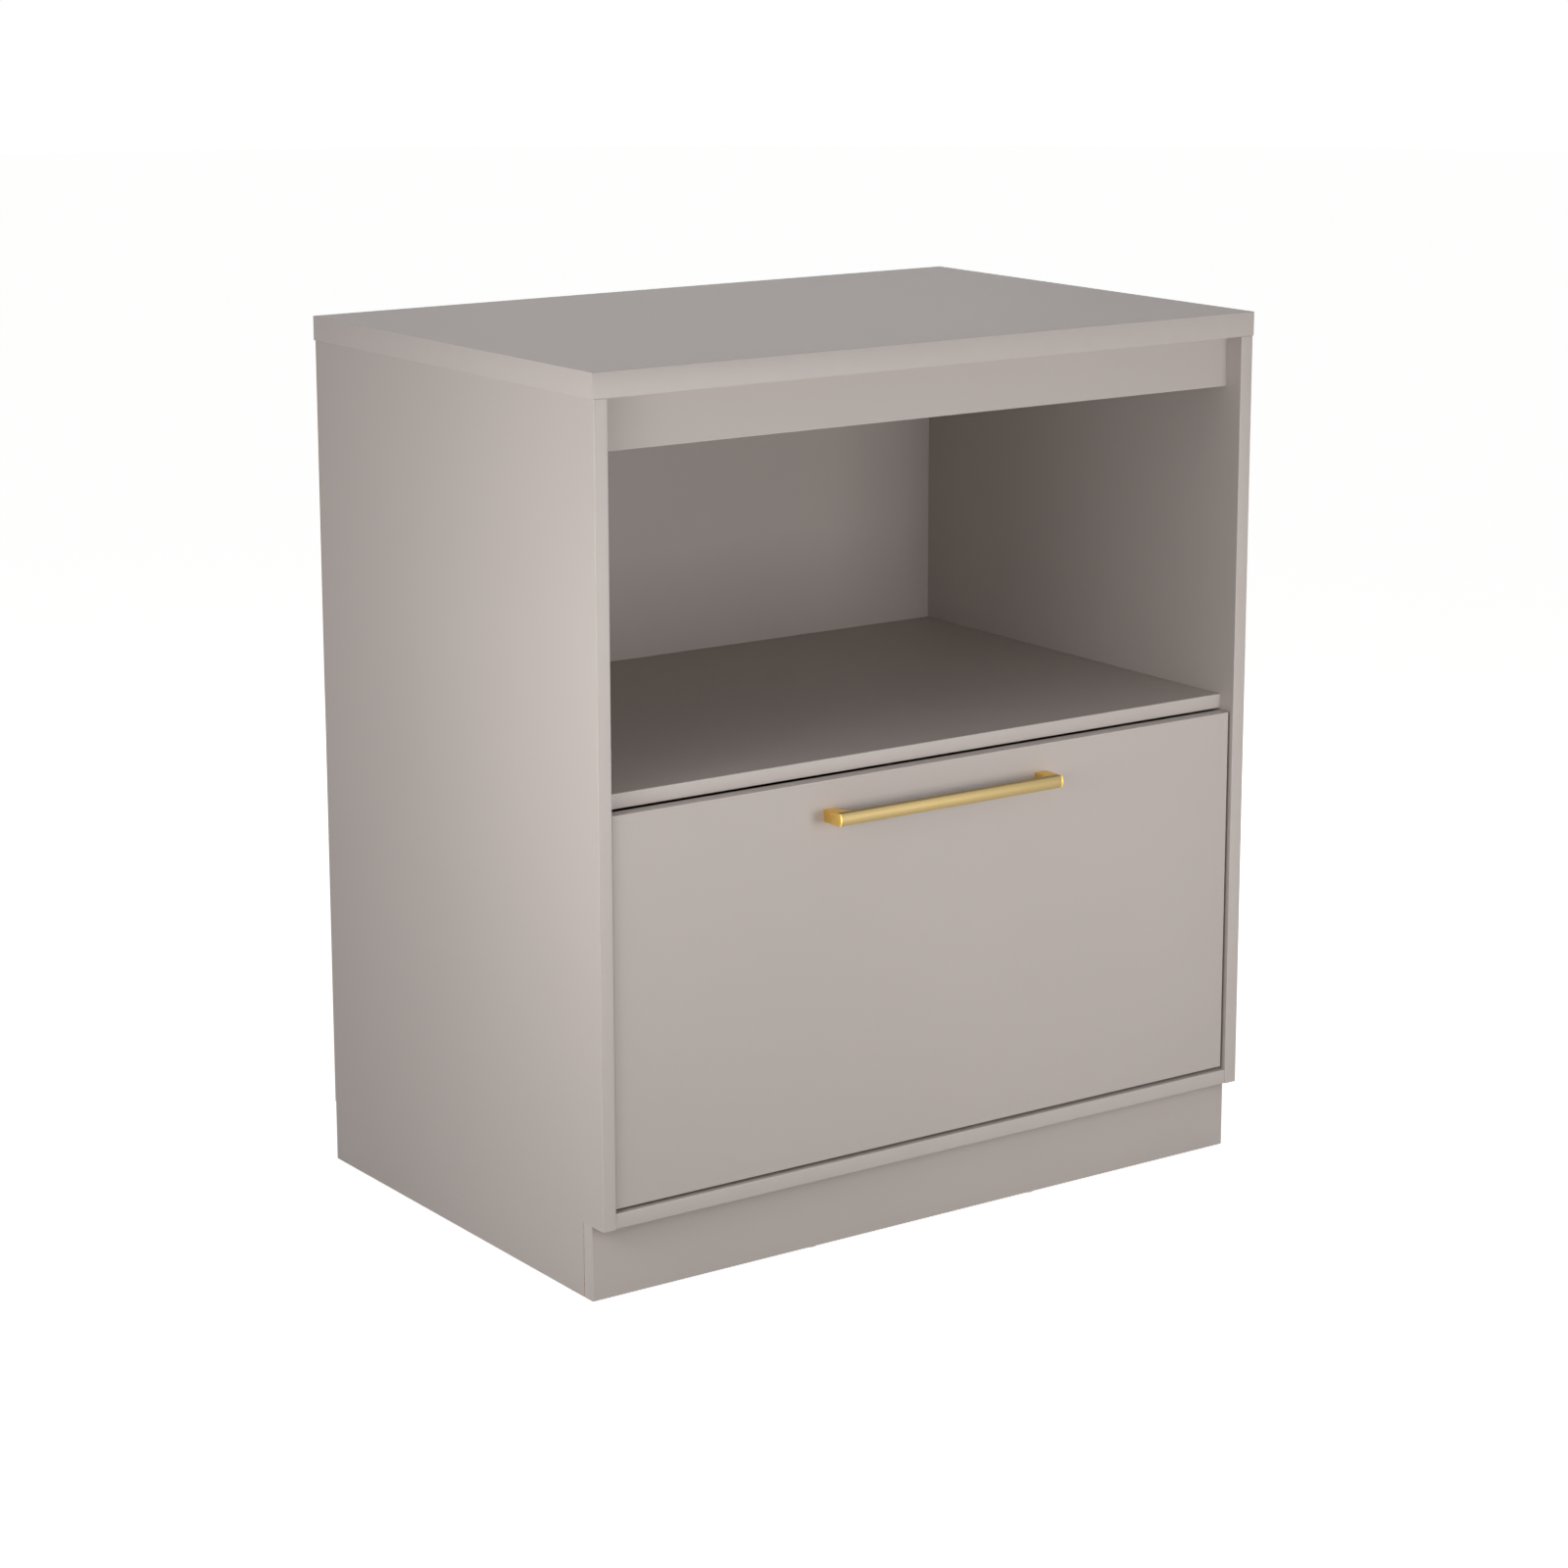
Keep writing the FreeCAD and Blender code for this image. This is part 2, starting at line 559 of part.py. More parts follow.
def ball_cage(node, hand, web_u, end_u, height, ball_u, ball_v, radius):
    """A sheet cage with open claws round the balls, and the balls that it carries."""
    y0 = runner_y + (runner_length - cage_length) / 2
    reach = 1 if end_u > web_u else -1
    edges = []
    for up in (-1, 1):
        def place(u, v):
            return Vector(hand * (inner_x - u), y0, runner_z + up * v)

        inside_u = web_u + reach * cage_sheet
        bend = [place(web_u, 0), place(web_u, height), place(end_u, height),
                place(end_u, height - cage_sheet), place(inside_u, height - cage_sheet), place(inside_u, 0)]
        edges += [Part.makeLine(a, b) for a, b in zip(bend, bend[1:])]
    cage = Part.Face(Part.Wire(Part.__sortEdges__(edges))).extrude(along_y * cage_length)
    claw = radius + ball_play
    pitch = (cage_length - 2 * ball_end_margin) / (balls_per_row - 1)
    balls = []
    for row in (-1, 1):
        for count in range(balls_per_row):
            centre = Vector(hand * (inner_x - ball_u), y0 + ball_end_margin + count * pitch,
                            runner_z + row * ball_v)
            balls.append(small_ball(radius, centre))
            x0, x1 = sorted((hand * (inner_x - ball_u + claw), hand * (inner_x - end_u - cage_sheet)))
            cage = cage.cut(block(x0, x1, centre.y - claw, centre.y + claw,
                                  centre.z - 2 * radius, centre.z + 2 * radius))
    add(node + "_cage", cage)
    add(node + "_balls", *balls)


def runner(side, hand):
    """One telescopic runner, drawn shut."""
    outer = side + "_runner_cabinet_channel"
    middle = side + "_runner_middle_channel"
    inner = side + "_runner_drawer_channel"
    middle_length = runner_length - buffer_length - buffer_gap
    outer_lip_u = outer_ball_u + outer_race + steel
    add(outer, channel(hand, 0, outer_lip_u, outer_half_height, bend_round, outer_race + steel,
                       outer_ball_v - lip_drop, steel, runner_y, runner_length))
    add(middle, channel(hand, middle_web_u, inner_ball_u + inner_race + steel, middle_half_height, bend_round,
                        inner_race + steel, inner_ball_v - middle_lip_drop, steel, runner_y, middle_length))
    web = channel(hand, runner_width, inner_ball_u - inner_race, drawer_half_height, bend_round, inner_race,
                  inner_ball_v + drawer_lip_rise, steel, runner_y, middle_length - channel_rear_step)
    lever_u = runner_width - steel - lever_web_gap - lever_thickness
    drawer_web_x = inner_x - runner_width + steel
    pivot = Vector(hand * drawer_web_x, runner_y + lever_pivot_inset, runner_z)
    out = along_x * hand
    rivet = Part.makeCylinder(pivot_radius, lever_web_gap + lever_thickness + pivot_stand, pivot, out)
    add(inner, web.fuse(rivet))

    # release lever, flat against the drawer channel's web, and free on its rivet
    lever_x = hand * (inner_x - lever_u)
    hub = Vector(lever_x, pivot.y, runner_z)
    tip = Vector(lever_x, pivot.y - lever_reach, runner_z)
    up_hub = along_z * lever_hub_radius
    up_tip = along_z * lever_tip_radius
    outline = [Part.Arc(hub + up_hub, hub + along_y * lever_hub_radius, hub - up_hub).toShape(),
               Part.makeLine(hub - up_hub, tip - up_tip),
               Part.Arc(tip - up_tip, tip - along_y * lever_tip_radius, tip + up_tip).toShape(),
               Part.makeLine(tip + up_tip, hub + up_hub)]
    lever = Part.Face(Part.Wire(outline)).extrude(-out * lever_thickness)
    eye = Part.makeCylinder(pivot_radius + pivot_play, lever_thickness, hub, -out)
    add(side + "_release_lever", lever.cut(eye))

    # rubber buffer that the middle channel meets when the drawer shuts
    buffer_x = sorted((hand * (inner_x - steel), hand * (inner_x - outer_ball_u)))
    buffer_half = outer_half_height - bend_round
    add("runner_buffers", block(*buffer_x, runner_y + runner_length - buffer_length, runner_y + runner_length,
                                runner_z - buffer_half, runner_z + buffer_half))

    # flat-headed screws, sunk in the webs, into the cabinet's side and the drawer's side
    first_y = runner_y + runner_screw_front_inset
    last_y = runner_y + runner_length - runner_screw_rear_inset
    for y in (first_y, (first_y + last_y) / 2, last_y):
        for node, carrier, channel_node, x, way in (
                ("runner_cabinet_screws", side + "_side", outer, inner_x - steel, 1),
                ("runner_drawer_screws", "drawer_" + side + "_side", inner, drawer_web_x, -1)):
            screw = turned([(0, runner_screw_head_radius), (steel, runner_screw_radius),
                            (steel + runner_screw_depth, runner_screw_radius)],
                           Vector(hand * x, y, runner_z), along_x * (hand * way), rod_sides)
            add(node, screw)
            cut(carrier, screw)
            cut(channel_node, screw)
    ball_cage(side + "_outer", hand, steel + cage_web_gap, outer_ball_u + outer_race / 2,
              outer_ball_v + cage_sheet / 2, outer_ball_u, outer_ball_v, outer_ball_radius)
    ball_cage(side + "_inner", hand, middle_web_u + steel + inner_cage_gap, inner_ball_u + inner_race / 2,
              inner_ball_v + cage_rise + cage_sheet / 2, inner_ball_u, inner_ball_v, inner_ball_radius)


runner("left", -1)
runner("right", 1)

os.makedirs("parts", exist_ok=True)
for node, shapes in solids.items():
    tools = cutters.get(node, [])
    finished = [shape.cut(tools) if tools else shape for shape in shapes]
    whole = finished[0] if len(finished) == 1 else Part.makeCompound(finished)
    whole.exportStep("parts/" + node + ".step")
    print(node, len(finished), "valid" if whole.isValid() else "not valid")
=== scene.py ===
import math

import bmesh
import bpy
from mathutils import Matrix, Vector


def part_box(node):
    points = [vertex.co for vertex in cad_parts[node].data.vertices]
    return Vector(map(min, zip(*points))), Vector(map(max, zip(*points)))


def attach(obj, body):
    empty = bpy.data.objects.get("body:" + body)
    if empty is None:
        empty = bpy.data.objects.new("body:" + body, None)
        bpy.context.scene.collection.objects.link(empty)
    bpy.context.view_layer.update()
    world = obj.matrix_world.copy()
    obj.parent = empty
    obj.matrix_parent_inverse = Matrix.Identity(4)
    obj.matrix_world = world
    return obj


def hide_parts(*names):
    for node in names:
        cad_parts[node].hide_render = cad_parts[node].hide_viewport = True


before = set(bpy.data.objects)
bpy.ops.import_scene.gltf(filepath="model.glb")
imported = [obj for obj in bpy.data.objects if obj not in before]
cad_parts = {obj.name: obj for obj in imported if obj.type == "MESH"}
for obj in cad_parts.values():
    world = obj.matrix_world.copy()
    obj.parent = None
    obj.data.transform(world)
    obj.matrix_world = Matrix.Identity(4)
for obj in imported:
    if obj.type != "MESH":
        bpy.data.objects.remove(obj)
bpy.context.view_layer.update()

# Worktop: 25 mm chipboard faced with matt greige laminate above and below. Its four edges carry a
# 1 mm strip of the same colour, glued on and rounded over with a cutter, so the raw core never shows.


class Signal:
    """A socket of a material's nodes. Arithmetic on signals adds Math nodes."""

    def __init__(self, socket):
        self.socket = socket

    def node(self, kind, sockets=(), output=0, **settings):
        """Adds a node beside this signal's, sets it, fills its sockets and gives one of its outputs."""
        tree = self.socket.id_data
        made = tree.nodes.new(kind)
        for setting, value in settings.items():
            if setting == "stops":
                elements = made.color_ramp.elements
                while len(elements) < len(value):
                    elements.new(1)
                for element, (share, tint) in zip(elements, value):
                    element.position, element.color = share, tint
            else:
                setattr(made, setting, value)
        for name, value in dict(sockets).items():
            if isinstance(value, Signal):
                tree.links.new(value.socket, made.inputs[name])
            else:
                made.inputs[name].default_value = value
        return Signal(made.outputs[output])

    def maths(self, operation, *values):
        return self.node("ShaderNodeMath", enumerate(values), operation=operation)

    def __add__(self, other):
        return self.maths("ADD", self, other)

    def __sub__(self, other):
        return self.maths("SUBTRACT", self, other)

    def __rsub__(self, other):
        return self.maths("SUBTRACT", other, self)

    def __mul__(self, other):
        return self.maths("MULTIPLY", self, other)

    def __gt__(self, other):
        return self.maths("GREATER_THAN", self, other)

    def __abs__(self):
        return self.maths("ABSOLUTE", self)

    __radd__ = __add__
    __rmul__ = __mul__

    def mixed(self, first, second):
        """A colour between two others, with this signal as the share of the second."""
        return self.node("ShaderNodeMix", {0: self, 6: first, 7: second}, 2, data_type="RGBA")

    def noise(self, scale, detail=2, stretch=(1, 1, 1)):
        """Cloudy noise on this signal's coordinates, stretch making it finer along an axis."""
        at = self.node("ShaderNodeMapping", {"Vector": self, "Scale": stretch})
        return self.node("ShaderNodeTexNoise", {"Vector": at, "Scale": scale, "Detail": detail})


def colour(red, green, blue):
    """A colour written as it looks on a screen, 0 to 255, as Blender's linear colour."""
    return tuple((part / 255) ** 2.2 for part in (red, green, blue)) + (1,)


def new_finish(name, **constants):
    """A material, its shader, and the Object coordinates that its pattern reads."""
    finish = bpy.data.materials.new(name)
    finish.use_nodes = True
    shader = finish.node_tree.nodes["Principled BSDF"]
    for socket, value in constants.items():
        shader.inputs[socket.replace("_", " ")].default_value = value
    return finish, shader, Signal(finish.node_tree.nodes.new("ShaderNodeTexCoord").outputs["Object"])


def feed(shader, **signals):
    """Links signals to the shader's sockets, a height through a Bump node with its depth in metres."""
    if "height" in signals:
        height = signals.pop("height")
        signals["Normal"] = height.node("ShaderNodeBump", {
            "Height": height, "Distance": signals.pop("depth"), "Strength": 1})
    for socket, signal in signals.items():
        shader.id_data.links.new(signal.socket, shader.inputs[socket.replace("_", " ")])


greige = colour(182, 173, 168)
greige_shade = colour(177, 168, 163)


def laminate(place):
    """The faintly clouded greige of the laminate, and the fine pearl that its surface has."""
    pearl = place.noise(scale=1500, detail=3)
    cloud = place.noise(scale=6)
    return (cloud * 0.7 + pearl * 0.3).mixed(greige_shade, greige), pearl


def board_finish(axis):
    """Matt laminate on the two faces that are square to an axis, and raw chipboard on the cut edges."""
    finish, shader, place = new_finish("laminate_" + axis, Specular_IOR_Level=0.25)
    normal = place.node("ShaderNodeNewGeometry", output="Normal")
    face = abs(normal.node("ShaderNodeSeparateXYZ", {0: normal}, axis)) > 0.7
    cut_edge = 1 - face
    tone, pearl = laminate(place)
    chips = place.node("ShaderNodeTexVoronoi", {"Vector": place, "Scale": 420}, "Color")
    chip = chips.node("ShaderNodeSeparateColor", {0: chips})
    raw = chip.node("ShaderNodeValToRGB", {0: chip * 0.7 + place.noise(scale=900) * 0.3}, stops=(
        (0.1, colour(112, 84, 54)), (0.5, colour(172, 139, 98)), (0.9, colour(205, 176, 132))))
    feed(shader, Base_Color=cut_edge.mixed(tone, raw),
         Roughness=0.44 + 0.1 * pearl + 0.4 * cut_edge,
         height=pearl + 6 * (chip * cut_edge), depth=0.00003)
    return finish


board_finishes = {axis: board_finish(axis) for axis in "XYZ"}


def dress(node, finish):
    """Gives a CAD node that stays as it is its own finish."""
    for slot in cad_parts[node].material_slots:
        slot.material = finish


dress("worktop", board_finishes["Z"])

edging_finish, shader, place = new_finish("edging_strip", Specular_IOR_Level=0.3)
grain = place.noise(scale=1800)
feed(shader, Base_Color=place.noise(scale=40).mixed(colour(184, 175, 170), colour(180, 171, 166)),
     Roughness=0.4 + 0.08 * grain, height=grain, depth=0.00002)


def select_only(*objects):
    """Makes these the only selected objects, the last one active."""
    bpy.ops.object.select_all(action="DESELECT")
    for thing in objects:
        thing.select_set(True)
        bpy.context.view_layer.objects.active = thing


def pick(piece, kind, test):
    """Goes into edit mode on a piece, with only the vertices, edges or faces selected that pass a test.
    The test is given the middle of an edge or face and its direction or normal."""
    select_only(piece)
    mesh = piece.data
    for part in (*mesh.vertices, *mesh.edges, *mesh.polygons):
        part.select = False
    points = [vertex.co for vertex in mesh.vertices]
    if kind == "EDGE":
        for edge in mesh.edges:
            first, second = (points[i] for i in edge.vertices)
            edge.select = test((first + second) / 2, (second - first).normalized())
    elif kind == "FACE":
        for face in mesh.polygons:
            face.select = test(face.center, face.normal)
    else:
        for vertex in mesh.vertices:
            vertex.select = test(vertex.co, vertex.normal)
    bpy.context.tool_settings.mesh_select_mode = [kind == each for each in ("VERT", "EDGE", "FACE")]
    bpy.ops.object.mode_set(mode="EDIT")


def done():
    """Leaves edit mode."""
    bpy.ops.object.mode_set(mode="OBJECT")


def cuboid(low, high):
    """A block between two corners, with its place in its mesh."""
    select_only()
    bpy.ops.mesh.primitive_cube_add(size=1, location=(low + high) / 2, scale=high - low)
    bpy.ops.object.transform_apply()
    return bpy.context.object


def joined(pieces):
    """Several objects as one."""
    select_only(*pieces)
    bpy.ops.object.join()
    return bpy.context.object


crease = math.radians(35)  # faces that meet at a larger angle keep a sharp edge between them


def place_piece(piece, name, finish, slot, body, *nodes):
    """Names a finished piece, gives it its finish and body, and hides the nodes that it stands for."""
    piece.name = piece.data.name = name
    piece.data.materials.clear()
    piece.data.materials.append(finish)
    select_only(piece)
    bpy.ops.object.shade_smooth_by_angle(angle=crease)
    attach(piece, body)
    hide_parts(*nodes)


X, Y, Z = Vector((1, 0, 0)), Vector((0, 1, 0)), Vector((0, 0, 1))
same_way = 0.9  # the least cosine between two directions that count as one
edging = 0.001
edging_round = 0.0008


def edging_strips(node, body, strips):
    """Strips with their two long outer arrises rounded, each given by two corners and its way out."""
    made = []
    for low, high, outward in strips:
        strip = cuboid(low, high)
        run = max((X, Y, Z), key=(high - low).dot)
        rim = max(low.dot(outward), high.dot(outward)) - edging / 4
        pick(strip, "EDGE", lambda at, way: at.dot(outward) > rim and abs(way.dot(run)) > same_way)
        bpy.ops.mesh.bevel(offset=edging_round, segments=4)
        done()
        made.append(strip)
    place_piece(joined(made), node + "_rounded", edging_finish, "greige_edging", body, node)


def all_round(low, high, whole, short):
    """Four strips round a board: whole ones at the ends of one axis, and short ones between them."""
    strips = []
    for way in (whole, short):
        for hand in (-1, 1):
            near, far = low.copy(), high.copy()
            if way is short:
                near += whole * edging
                far -= whole * edging
            rest = way * ((far - near).dot(way) - edging)
            strips.append((near, far - rest, -way) if hand < 0 else (near + rest, far, way))
    return strips


edging_strips("worktop_edging", "cabinet", all_round(*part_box("worktop_edging"), Y, X))


# Sides: 15 mm boards as deep as the cabinet, notched at the foot for the plinth. The front edge has the
# rounded strip, and the foot and the rear edge are left raw, because the floor and the back hide them.
def single_strip(board, outward):
    """The one strip of a carcass board, on the edge that looks outward."""
    node = board + "_edging"
    edging_strips(node, "cabinet", [(*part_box(node), outward)])


for side in ("left_side", "right_side"):
    dress(side, board_finishes["X"])
    single_strip(side, -Y)

# Bottom panel and niche shelf: the same 15 mm board, held between the sides by cams and dowels. Each has
# a strip on its front edge, and its other edges are left raw.
for board in ("bottom_panel", "niche_shelf"):
    dress(board, board_finishes["Z"])
    single_strip(board, -Y)

# Rails: the front one shows above the niche and has its strip on the lower edge. The rear one is
# hidden behind it and holds the sides apart at the wall.
dress("front_rail", board_finishes["Y"])
dress("rear_rail", board_finishes["Y"])
single_strip("front_rail", -Z)

# Plinth: two boards on edge. The front one laps both sides, so its ends show and are lipped, while its
# long edges are raw.
dress("front_plinth", board_finishes["Y"])
dress("rear_plinth", board_finishes["Y"])
plinth_ends = all_round(*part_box("front_plinth_edging"), X, Z)[:2]
edging_strips("front_plinth_edging", "cabinet", plinth_ends)


# Blocks behind the plinth: white moulded gussets, glued in the corner under the bottom panel, their
# arrises rounded by the mould.
def linked(name, mesh):
    """A new object of a mesh, in the scene."""
    piece = bpy.data.objects.new(name, mesh)
    bpy.context.scene.collection.objects.link(piece)
    return piece


one_point = 1e-6  # corners that lie nearer than this are one


def merged_copy(node):
    """A copy of a CAD node with its corners merged."""
    piece = linked(node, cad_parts[node].data.copy())
    pick(piece, "FACE", lambda at, normal: True)
    bpy.ops.mesh.remove_doubles(threshold=one_point)
    done()
    return piece


def rounded(piece, width):
    """Rounds a piece's arrises."""
    rounding = piece.modifiers.new("rounding", "BEVEL")
    rounding.width, rounding.segments, rounding.limit_method = width, 3, "ANGLE"
    select_only(piece)
    bpy.ops.object.modifier_apply(modifier="rounding")
    return piece


def softened(node, width):
    """A merged copy with its flat faces whole and its arrises rounded."""
    piece = merged_copy(node)
    pick(piece, "FACE", lambda at, normal: True)
    bpy.ops.mesh.dissolve_limited(angle_limit=math.radians(1))
    done()
    return rounded(piece, width)


def darker(tone, share):
    """A colour with a share of its light."""
    return tuple(part * share for part in tone[:3]) + (1,)


def moulded_finish(name, tone, roughness, scale):
    """Moulded plastic or rubber with a fine eroded grain."""
    finish, shader, place = new_finish(name)
    grain = place.noise(scale, detail=4)
    feed(shader, Base_Color=grain.mixed(tone, darker(tone, 0.92)), Roughness=roughness + 0.15 * grain,
         height=grain, depth=0.00004)
    return finish


white_plastic = moulded_finish("white_plastic", colour(226, 225, 219), roughness=0.4, scale=700)
place_piece(softened("plinth_blocks", width=0.0006), "plinth_gusset_blocks", white_plastic,
            "white_plastic", "cabinet", "plinth_blocks")


# Glides: turned discs of hard nylon nailed under the sides and plinths, with a rounded running edge.
def chain(name, points):
    """A line through points, in edit mode and selected all over."""
    mesh = bpy.data.meshes.new(name)
    mesh.from_pydata(points, [(i, i + 1) for i in range(len(points) - 1)], [])
    line = linked(name, mesh)
    pick(line, "VERT", lambda at, normal: True)
    return line


def turned(profile, steps=32):
    """A piece turned round Z from its half section, a radius and a height a point, from axis to axis."""
    piece = chain("turned", [(radius, 0, height) for radius, height in profile])
    bpy.ops.mesh.spin(steps=steps, angle=math.tau, center=(0, 0, 0), axis=Z)
    bpy.ops.mesh.select_all(action="SELECT")
    bpy.ops.mesh.remove_doubles(threshold=one_point)
    bpy.ops.mesh.normals_make_consistent(inside=False)
    done()
    return piece


def solid_boxes(node):
    """The box of each separate solid of a CAD node."""
    mesh = bmesh.new()
    mesh.from_mesh(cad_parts[node].data)
    bmesh.ops.remove_doubles(mesh, verts=mesh.verts, dist=one_point)
    boxes, seen = [], set()
    for start in mesh.verts:
        if start in seen:
            continue
        seen.add(start)
        solid = [start]
        for vertex in solid:
            for edge in vertex.link_edges:
                other = edge.other_vert(vertex)
                if other not in seen:
                    seen.add(other)
                    solid.append(other)
        boxes.append([Vector(bound(vertex.co[i] for vertex in solid) for i in range(3))
                      for bound in (min, max)])
    return boxes


def copies(master, places):
    """The master at each place, which is a point and the way that its Z axis then looks, as one piece."""
    made = []
    for at, way in places:
        copy = linked("copy", master.data.copy())
        copy.data.transform(Matrix.Translation(at) @ Z.rotation_difference(way).to_matrix().to_4x4())
        made.append(copy)
    bpy.data.objects.remove(master)
    return joined(made)


glide_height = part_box("floor_glides")[1].z
glide = turned([(0, 0), (0.0056, 0), (0.0062, 0.0001), (0.0067, 0.0005), (0.0070, 0.0011),
                (0.0070, glide_height), (0, glide_height)])
places = [((low + high - Z * glide_height) / 2, Z) for low, high in solid_boxes("floor_glides")]
place_piece(copies(glide, places), "nylon_floor_glides", white_plastic, "white_plastic", "cabinet",
            "floor_glides")

# Back: 3 mm fibreboard, lacquered greige on the side that faces the niche and bare brown at the wall,
# held by small nails with their heads sunk flush.
finish, shader, place = new_finish("back_board", Specular_IOR_Level=0.3)
lacquer = 0.0001
bare = place.node("ShaderNodeSeparateXYZ", {0: place}, "Y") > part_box("back_panel")[0].y + lacquer
fibre = place.noise(scale=260, detail=5, stretch=(1, 1, 2.5))
brown = (fibre * 0.7 + place.noise(scale=14) * 0.3).mixed(colour(150, 112, 78), colour(178, 140, 102))
feed(shader, Base_Color=bare.mixed(laminate(place)[0], brown), Roughness=0.5 + 0.25 * bare,
     height=fibre, depth=0.00005)
dress("back_panel", finish)


def metal_finish(name, tone, roughness, scale, stretch=(1, 1, 1)):
    """Metal with fine wear or brush marks, stretch making them finer along an axis."""
    finish, shader, place = new_finish(name, Metallic=1)
    marks = place.noise(scale, detail=4, stretch=stretch)
    feed(shader, Base_Color=marks.mixed(tone, darker(tone, 0.86)),
         Roughness=roughness - 0.08 + 0.16 * marks, height=marks, depth=0.00001)
    return finish


def heads(node, y):
    """Where a node's nails or screws have their heads, which look along Y at the wall."""
    return [(Vector(((low.x + high.x) / 2, y, (low.z + high.z) / 2)), Y)
            for low, high in solid_boxes(node)]


fitting_steel = metal_finish("fitting_steel", colour(205, 205, 200), roughness=0.32, scale=600)
nail = turned([(0, 0), (0.0016, -0.0001), (0.0020, -0.0003), (0.0020, -0.0005), (0.0008, -0.0014),
               (0.0008, -0.0180), (0, -0.0200)], steps=20)
place_piece(copies(nail, heads("back_panel_nails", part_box("back_panel_nails")[1].y)), "back_nails",
            fitting_steel, "fitting_steel", "cabinet", "back_panel_nails")


# Cams: die-cast zinc drums let into the boards. A cross driver turns them, and the side slot draws in
# the bolt's head.
def carve(piece, *cutters):
    """Cuts each cutter out of a piece."""
    for cutter in cutters:
        recess = piece.modifiers.new("recess", "BOOLEAN")
        recess.object, recess.operation, recess.solver = cutter, "DIFFERENCE", "EXACT"
        select_only(piece)
        bpy.ops.object.modifier_apply(modifier="recess")
        bpy.data.objects.remove(cutter)
    return piece


def cross(radius, width, top, depth):
    """The two blocks that cut a cross recess, from a height down to a depth below Z = 0."""
    return [cuboid(Vector((-a, -b, -depth)), Vector((a, b, top)))
            for a, b in ((radius, width / 2), (width / 2, radius))]


def cam():
    """A drum with its mouth at Z = 0, looking up."""
    drum = turned([(0, -0.0004), (0.0057, -0.0004), (0.0060, 0), (0.0068, 0), (0.0071, -0.0003),
                   (0.0071, -0.0115), (0.0066, -0.0120), (0, -0.0120)], steps=40)
    return carve(drum, *cross(radius=0.0036, width=0.0014, top=0.001, depth=0.0028))


def mouths(node, way):
    """Where each fitting of a node meets the face that it is let into, way being out of that face."""
    found = []
    for low, high in solid_boxes(node):
        middle = (low + high) / 2
        out = way(middle)
        found.append((middle + out * abs((high - low).dot(out)) / 2, out))
    return found


def inward(middle):
    """Out of a side's inner face, towards the middle of the cabinet."""
    return X if middle.x < 0 else -X


side_inner_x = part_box("right_side")[0].x


def out_of_board(middle):
    """Out of the face that a carcass cam is let into: a side's inner face, or a board's underside."""
    return inward(middle) if abs(middle.x) > side_inner_x else -Z


place_piece(copies(cam(), mouths("carcass_cams", out_of_board)),
            "carcass_cam_drums", fitting_steel, "fitting_steel", "cabinet", "carcass_cams")


# Cam bolts: steel, with a round head for the cam, a slim neck, a collar and a coarse thread in the next
# board.
def threaded(head, root, crest, start, end, pitch, steps=20):
    """A screw along -Z: its head's half section, then thread from start to end."""
    profile = list(head)
    depth = start
    while depth + pitch < end - crest:
        profile += [(root, -depth), (crest, -depth - pitch / 2)]
        depth += pitch
    return turned(profile + [(root, -depth), (0, -end)], steps)


def cam_bolt():
    """A bolt with its head's end at Z = 0."""
    return threaded([(0, 0), (0.0020, 0), (0.0031, -0.0007), (0.0031, -0.0023), (0.0020, -0.0030),
                     (0.0019, -0.0320), (0.0034, -0.0322), (0.0034, -0.0338), (0.0019, -0.0340)],
                    root=0.0019, crest=0.0026, start=0.0340, end=0.0450, pitch=0.0018)


shelf_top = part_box("niche_shelf")[1].z


def back_along_bolt(middle):
    """From a carcass bolt's thread to its head: down from the worktop, or inward from a side."""
    return -Z if abs(middle.x) > side_inner_x and middle.z > shelf_top else inward(middle)


place_piece(copies(cam_bolt(), mouths("carcass_cam_bolts", back_along_bolt)),
            "carcass_threaded_bolts", fitting_steel, "fitting_steel", "cabinet", "carcass_cam_bolts")


# Dowels: 8 mm fluted beech with chamfered ends, glued into both boards. The flutes let the spare glue
# out as a board is pushed on.
beech, shader, place = new_finish("beech")
rays = place.noise(scale=300, detail=4)
feed(shader, Base_Color=rays.mixed(colour(214, 178, 134), colour(190, 150, 106)),
     Roughness=0.6 + 0.2 * rays, height=rays, depth=0.00005)


def fluted_dowel(length, radius, flutes, chamfer):
    """A dowel from Z = 0 down, with flutes along it and its ends chamfered."""
    select_only()
    bpy.ops.mesh.primitive_cylinder_add(vertices=2 * flutes, radius=radius, depth=length - 2 * chamfer,
                                        location=(0, 0, -length / 2))
    bpy.ops.object.transform_apply()
    dowel = bpy.context.object
    for vertex in dowel.data.vertices:
        if round(math.atan2(vertex.co.y, vertex.co.x) / (math.pi / flutes)) % 2:
            vertex.co.xy *= 0.94
    for end in (-1, 1):
        pick(dowel, "FACE", lambda at, normal: normal.z * end > same_way)
        bpy.ops.mesh.extrude_region_move(TRANSFORM_OT_translate={"value": Z * (end * chamfer)})
        bpy.ops.transform.resize(value=(0.8, 0.8, 1))
        done()
    return dowel


dowel_length = 0.033
for joints in ("carcass", "plinth"):
    places = []
    for low, high in solid_boxes(joints + "_dowels"):
        way = max((X, Y, Z), key=(high - low).dot)
        places.append(((low + high) / 2 + way * dowel_length / 2, way))
    dowel = fluted_dowel(dowel_length, radius=0.0039, flutes=16, chamfer=0.0008)
    place_piece(copies(dowel, places), joints + "_fluted_dowels", beech, "beech", "cabinet",
                joints + "_dowels")

